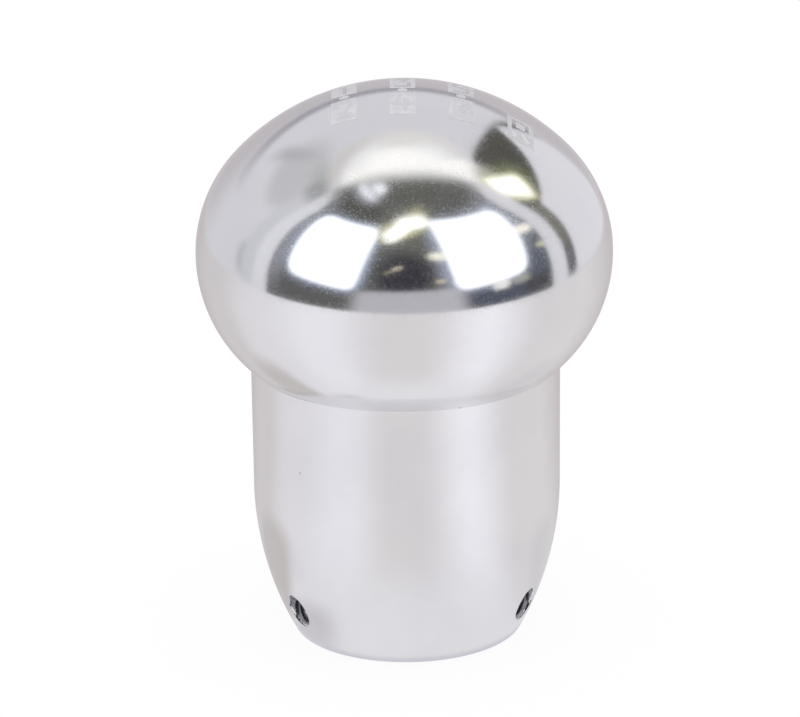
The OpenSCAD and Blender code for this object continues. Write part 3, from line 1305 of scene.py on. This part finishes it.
@dataclass
class Studio:
    """The camera, the light tent round the knob and the table under it.

    The opening is a plane in front of the knob. Above the brow it stands further back, with a softer edge.
    Each field that ends in "between" holds the elevations, in degrees, between which its change takes place.
    """

    elevation: float = 20.48
    distance: float = 962.85
    aim_x: float = -0.663
    aim_z: float = 33.935
    roll: float = -0.672
    focal_px: float = 8000.0
    frame_px: float = 800.0
    sensor_mm: float = 36.0
    level: float = 1.2
    wall: str = "D0CFD4"
    ceiling: str = "FFFEFB"
    room: str = "646460"
    # Tone of the table under its painted light and shade, as the metal sees it
    table: str = "BEB8BA"
    table_r: float = 272.0
    table_centre: tuple[float, float] = (-12.0, 30.0)
    floor_half: float = 3000.0
    floor_white: float = 1.01
    floor_glow: float = 0.9
    table_edge: float = 6.0
    table_glow: float = 0.85
    opening_turn: float = 3.5
    opening_inset: float = 0.1
    brow_inset: float = 0.072
    brow_between: Point = (56.0, 62.0)
    ceiling_between: Point = (58.0, 78.0)
    haze_between: Point = (58.0, 76.0)
    edge_haze: Point = (0.02, 0.1)

    def camera(self) -> None:
        """Makes the camera at the photograph's viewing angle."""
        lens = bpy.data.cameras.new("view")
        lens.sensor_width = self.sensor_mm
        lens.lens = self.focal_px / self.frame_px * self.sensor_mm
        lens.clip_start, lens.clip_end = 0.01, 20.0
        camera = bpy.data.objects.new("view", lens)
        tilt, roll = math.radians(self.elevation), math.radians(self.roll)
        back = Vector((0, -math.cos(tilt), math.sin(tilt)))
        right = Vector((1, 0, 0))
        up = back.cross(right)
        across = right * math.cos(roll) + up * math.sin(roll)
        above = up * math.cos(roll) - right * math.sin(roll)
        turned = Matrix((across, above, back)).transposed().to_4x4()
        aim = Vector((self.aim_x, 0, self.aim_z))
        camera.matrix_world = Matrix.Translation((aim + back * self.distance) * MM) @ turned
        bpy.context.scene.collection.objects.link(camera)
        bpy.context.scene.camera = camera

    def panel_group(self) -> Tree:
        """The node group that lays one panel over what is behind it.

        Returns:
            The group.
        """
        group = bpy.data.node_groups.new("studio_panel", "ShaderNodeTree")
        sockets = {"Place": "Vector", "Centre": "Vector", "Half": "Vector", "Turn": "Float", "Taper": "Float",
                   "Lean": "Float", "Power": "Float", "Soft": "Float", "Colour": "Color", "Behind": "Color"}
        for name, kind in sockets.items():
            group.interface.new_socket(name, in_out="INPUT", socket_type="NodeSocket" + kind)
        group.interface.new_socket("Colour", in_out="OUTPUT", socket_type="NodeSocketColor")
        given = group.nodes.new("NodeGroupInput").outputs
        apart = add_node(
            group, VECTOR_MATH, {0: given["Place"], 1: given["Centre"]}, operation="SUBTRACT",
        ).outputs[0]
        round_about = add_node(
            group, VECTOR_MATH, {0: apart, 1: (180, 1e4, 1), 2: (-180, -1e4, -1)}, operation="WRAP",
        ).outputs[0]
        turned = add_node(
            group, "ShaderNodeVectorRotate", {"Vector": round_about, "Angle": given["Turn"]},
            rotation_type="Z_AXIS", invert=True,
        ).outputs[0]
        scaled = add_node(group, VECTOR_MATH, {0: turned, 1: given["Half"]}, operation="DIVIDE").outputs[0]
        parts = add_node(group, SPLIT, {0: scaled}).outputs
        powers = []
        for along, across, change in ((parts[0], parts[1], "Taper"), (parts[1], parts[0], "Lean")):
            grown = add_node(
                group, MATH, {0: across, 1: given[change], 2: 1.0}, operation="MULTIPLY_ADD",
            ).outputs[0]
            part = add_node(group, MATH, {0: along, 1: grown}, operation="DIVIDE").outputs[0]
            size = add_node(group, MATH, {0: part}, operation="ABSOLUTE").outputs[0]
            powers.append(add_node(group, MATH, {0: size, 1: given["Power"]}, operation="POWER").outputs[0])
        total = add_node(group, MATH, {0: powers[0], 1: powers[1]}, operation="ADD").outputs[0]
        inverse = add_node(group, MATH, {0: 1.0, 1: given["Power"]}, operation="DIVIDE").outputs[0]
        reach = add_node(group, MATH, {0: total, 1: inverse}, operation="POWER").outputs[0]
        outer = add_node(group, MATH, {0: 1.0, 1: given["Soft"]}, operation="ADD").outputs[0]
        inner = add_node(group, MATH, {0: 1.0, 1: given["Soft"]}, operation="SUBTRACT").outputs[0]
        cover = add_node(
            group, MAP_RANGE, {"Value": reach, "From Min": outer, "From Max": inner},
            interpolation_type="SMOOTHSTEP",
        ).outputs["Result"]
        laid = add_node(
            group, MIX, {"Factor": cover, 6: given["Behind"], 7: given["Colour"]},
            data_type="RGBA", clamp_result=False,
        ).outputs[2]
        add_node(group, "NodeGroupOutput", {"Colour": laid})
        return group

    def lay(self, tree: Tree, group: Tree, place: Any, behind: Any,
            panels: Sequence[Panel]) -> Any:
        """Lays panels one over the other.

        Args:
            tree: The tree that gets them.
            group: The panel group.
            place: Socket with azimuth and elevation in degrees, or on the table azimuth and distance.
            behind: Socket with the colour behind them.
            panels: The panels, the furthest first.

        Returns:
            The socket with the result.
        """
        for panel in panels:
            red, green, blue, alpha = linear(panel.colour)
            bright = (red * panel.level, green * panel.level, blue * panel.level, alpha)
            behind = add_node(
                tree, "ShaderNodeGroup",
                {"Place": place, "Centre": (panel.azimuth, panel.elevation, 0),
                 "Half": (panel.half_w, panel.half_h, 1), "Turn": math.radians(panel.turn),
                 "Taper": panel.taper, "Lean": panel.lean, "Power": panel.power,
                 "Soft": panel.soft / 2 / min(panel.half_w, panel.half_h),
                 "Colour": bright, "Behind": behind},
                node_tree=group,
            ).outputs[0]
        return behind

    def direction(self, tree: Tree, vector: Any) -> tuple[Any, Any]:
        """Turns a vector to azimuth and elevation in degrees.

        Args:
            tree: The tree that gets the nodes.
            vector: Socket with the vector.

        Returns:
            The socket with both, and the split vector.
        """
        unit = add_node(tree, VECTOR_MATH, {0: vector}, operation="NORMALIZE").outputs[0]
        parts = add_node(tree, SPLIT, {0: unit}).outputs
        front = add_node(tree, MATH, {0: parts[1], 1: -1.0}, operation="MULTIPLY").outputs[0]
        azimuth = add_node(tree, MATH, {0: parts[0], 1: front}, operation="ARCTAN2").outputs[0]
        elevation = add_node(tree, MATH, {0: parts[2]}, operation="ARCSINE").outputs[0]
        both = add_node(tree, JOIN, {0: azimuth, 1: elevation}).outputs[0]
        degrees = add_node(
            tree, VECTOR_MATH, {0: both, "Scale": math.degrees(1)}, operation="SCALE",
        ).outputs[0]
        return degrees, parts

    def world(self, group: Tree) -> None:
        """Makes the light tent. The camera itself sees plain white behind the knob.

        Args:
            group: The panel group.
        """
        world = bpy.data.worlds.new("light_tent")
        bpy.context.scene.world = world
        world.use_nodes = True
        world.cycles.sampling_method = "NONE"
        tree = world.node_tree
        tree.nodes.clear()
        ray = add_node(tree, "ShaderNodeTexCoord").outputs["Generated"]
        place, parts = self.direction(tree, ray)
        height = add_node(tree, SPLIT, {0: place}).outputs[1]
        ramps = (
            (self.ceiling_between, (0.0, 1.0), "SMOOTHSTEP"),
            (self.brow_between, (-self.opening_inset, self.brow_inset), "LINEAR"),
            (self.haze_between, self.edge_haze, "LINEAR"),
        )
        lit, inset, soft = (
            add_node(
                tree, MAP_RANGE,
                {"Value": height, "From Min": low, "From Max": high, "To Min": first, "To Max": last},
                interpolation_type=kind,
            ).outputs["Result"]
            for (low, high), (first, last), kind in ramps
        )
        tent = add_node(
            tree, MIX, {"Factor": lit, 6: linear(self.wall), 7: linear(self.ceiling)},
            data_type="RGBA",
        ).outputs[2]
        tent = self.lay(tree, group, place, tent, TENT_WALLS + HEMS)
        # The opening is a plane in front of the knob, turned a little to the right, and softer overhead
        yaw = math.radians(self.opening_turn)
        side = add_node(tree, MATH, {0: parts[0], 1: math.sin(yaw)}, operation="MULTIPLY").outputs[0]
        depth = add_node(
            tree, MATH, {0: parts[1], 1: -math.cos(yaw), 2: side}, operation="MULTIPLY_ADD",
        ).outputs[0]
        flat = add_node(tree, MATH, {0: parts[2], 1: parts[2]}, operation="MULTIPLY").outputs[0]
        level = add_node(tree, MATH, {0: 1.0, 1: flat}, operation="SUBTRACT").outputs[0]
        reach = add_node(tree, MATH, {0: level}, operation="SQRT").outputs[0]
        edge = add_node(tree, MATH, {0: reach, 1: inset, 2: depth}, operation="MULTIPLY_ADD").outputs[0]
        share = add_node(tree, MATH, {0: edge, 1: soft}, operation="DIVIDE").outputs[0]
        open_to_room = add_node(
            tree, MAP_RANGE, {"Value": share, "From Min": -1.0, "From Max": 1.0},
            interpolation_type="SMOOTHSTEP",
        ).outputs["Result"]
        room = self.lay(tree, group, place, linear(self.room), OPENING + HEMS)
        sides = [
            add_node(tree, "ShaderNodeBackground", {"Color": colour, "Strength": self.level}).outputs[0]
            for colour in (tent, room)
        ]
        mirrored = add_node(tree, MIX_SHADER, {0: open_to_room, 1: sides[0], 2: sides[1]}).outputs[0]
        white = add_node(tree, "ShaderNodeBackground", {"Color": (1, 1, 1, 1), "Strength": 1.0}).outputs[0]
        path = add_node(tree, "ShaderNodeLightPath").outputs
        inside = add_node(tree, MIX_SHADER, {0: path["Is Glossy Ray"], 1: white, 2: mirrored}).outputs[0]
        add_node(tree, "ShaderNodeOutputWorld", {"Surface": inside})

    def floor(self, group: Tree) -> None:
        """Makes the white table. It keeps the knob's soft shadow, and the metal shows it out to its edge,
        with painted pools of light and a painted shadow.

        Args:
            group: The panel group.
        """
        half = self.floor_half * MM
        mesh = bpy.data.meshes.new("table")
        corners = [(-half, -half, 0), (half, -half, 0), (half, half, 0), (-half, half, 0)]
        mesh.from_pydata(corners, [], [(0, 1, 2, 3)])
        table = bpy.data.objects.new("table", mesh)
        bpy.context.scene.collection.objects.link(table)
        paint = bpy.data.materials.new("white_table_top")
        paint.use_nodes = True
        tree = paint.node_tree
        tree.nodes.clear()
        spot = add_node(tree, "ShaderNodeTexCoord").outputs["Object"]
        place, _ = self.direction(tree, spot)
        azimuth = add_node(tree, SPLIT, {0: place}).outputs[0]
        reach = add_node(tree, VECTOR_MATH, {0: spot}, operation="LENGTH").outputs["Value"]
        distance = add_node(tree, MATH, {0: reach, 1: MM}, operation="DIVIDE").outputs[0]
        around = add_node(tree, JOIN, {0: azimuth, 1: distance}).outputs[0]
        # Painted pools of light and painted shadow on the table, which only glossy rays see; they mostly glow
        # rather than being lit
        painted_table_light = self.lay(tree, group, around, linear(self.table), TABLE_PAINTED_LIGHT)
        path = add_node(tree, "ShaderNodeLightPath").outputs
        share = self.floor_white - self.floor_glow
        plain = add_node(tree, "ShaderNodeBsdfDiffuse", {"Color": (share, share, share, 1)}).outputs[0]
        glow = add_node(
            tree, "ShaderNodeEmission", {"Color": (1, 1, 1, 1), "Strength": self.floor_glow},
        ).outputs[0]
        seen = add_node(tree, "ShaderNodeAddShader", {0: plain, 1: glow}).outputs[0]
        shaded = add_node(tree, "ShaderNodeBsdfDiffuse", {"Color": painted_table_light}).outputs[0]
        even = add_node(tree, "ShaderNodeEmission", {"Color": painted_table_light, "Strength": self.level}).outputs[0]
        mirrored = add_node(tree, MIX_SHADER, {0: self.table_glow, 1: shaded, 2: even}).outputs[0]
        centre = (self.table_centre[0] * MM, self.table_centre[1] * MM, 0)
        apart = add_node(tree, VECTOR_MATH, {0: spot, 1: centre}, operation="DISTANCE").outputs["Value"]
        beyond = add_node(
            tree, MAP_RANGE,
            {"Value": apart, "From Min": (self.table_r - self.table_edge) * MM,
             "From Max": (self.table_r + self.table_edge) * MM},
        ).outputs["Result"]
        clear = add_node(tree, "ShaderNodeBsdfTransparent").outputs[0]
        cut_off = add_node(tree, MIX_SHADER, {0: beyond, 1: mirrored, 2: clear}).outputs[0]
        lit = add_node(tree, MIX_SHADER, {0: path["Is Glossy Ray"], 1: plain, 2: cut_off}).outputs[0]
        camera_side = add_node(
            tree, MATH, {0: path["Is Camera Ray"], 1: path["Is Transmission Ray"]}, operation="MAXIMUM",
        ).outputs[0]
        top = add_node(tree, MIX_SHADER, {0: camera_side, 1: lit, 2: seen}).outputs[0]
        below = add_node(tree, "ShaderNodeNewGeometry").outputs["Backfacing"]
        both = add_node(tree, MIX_SHADER, {0: below, 1: top, 2: clear}).outputs[0]
        add_node(tree, "ShaderNodeOutputMaterial", {"Surface": both})
        mesh.materials.append(paint)

    def build(self) -> None:
        """Sets up camera, light tent and table."""
        group = self.panel_group()
        self.camera()
        self.world(group)
        self.floor(group)
        bpy.context.scene.view_settings.view_transform = "Standard"


def main() -> None:
    """Builds the knob's pieces and the studio round them."""
    logging.basicConfig(level=logging.INFO, format="%(name)s: %(message)s")
    lathe = LatheTree("turned_solid", ["Steps"])
    rods = RodTree(
        "threaded_rod",
        ["Length", "Start", "Pitch", "Steps", "Crest", "Root", "Root Flat", "Crest Flat",
         "Tip", "Tail", "Lead"],
    )
    screws = ScrewSet()
    body = KnobBody()
    turned = TURNED.material()
    shell = body.build(lathe, screws.taps(rods, turned, body), turned)
    hand_over(shell, "knob", Slot.ALUMINIUM, "knob_body")
    hand_over(GearPattern().build(body), "knob", Slot.ALUMINIUM)
    hand_over(Adapter().build(lathe, rods), "knob", Slot.PLATED, "lever_adapter")
    for number, screw in enumerate(screws.build(lathe, rods), start=1):
        hand_over(screw, f"screw_{number}", Slot.SCREW, f"set_screw_{number}")
    Studio().build()


if __name__ == "__main__":
    main()
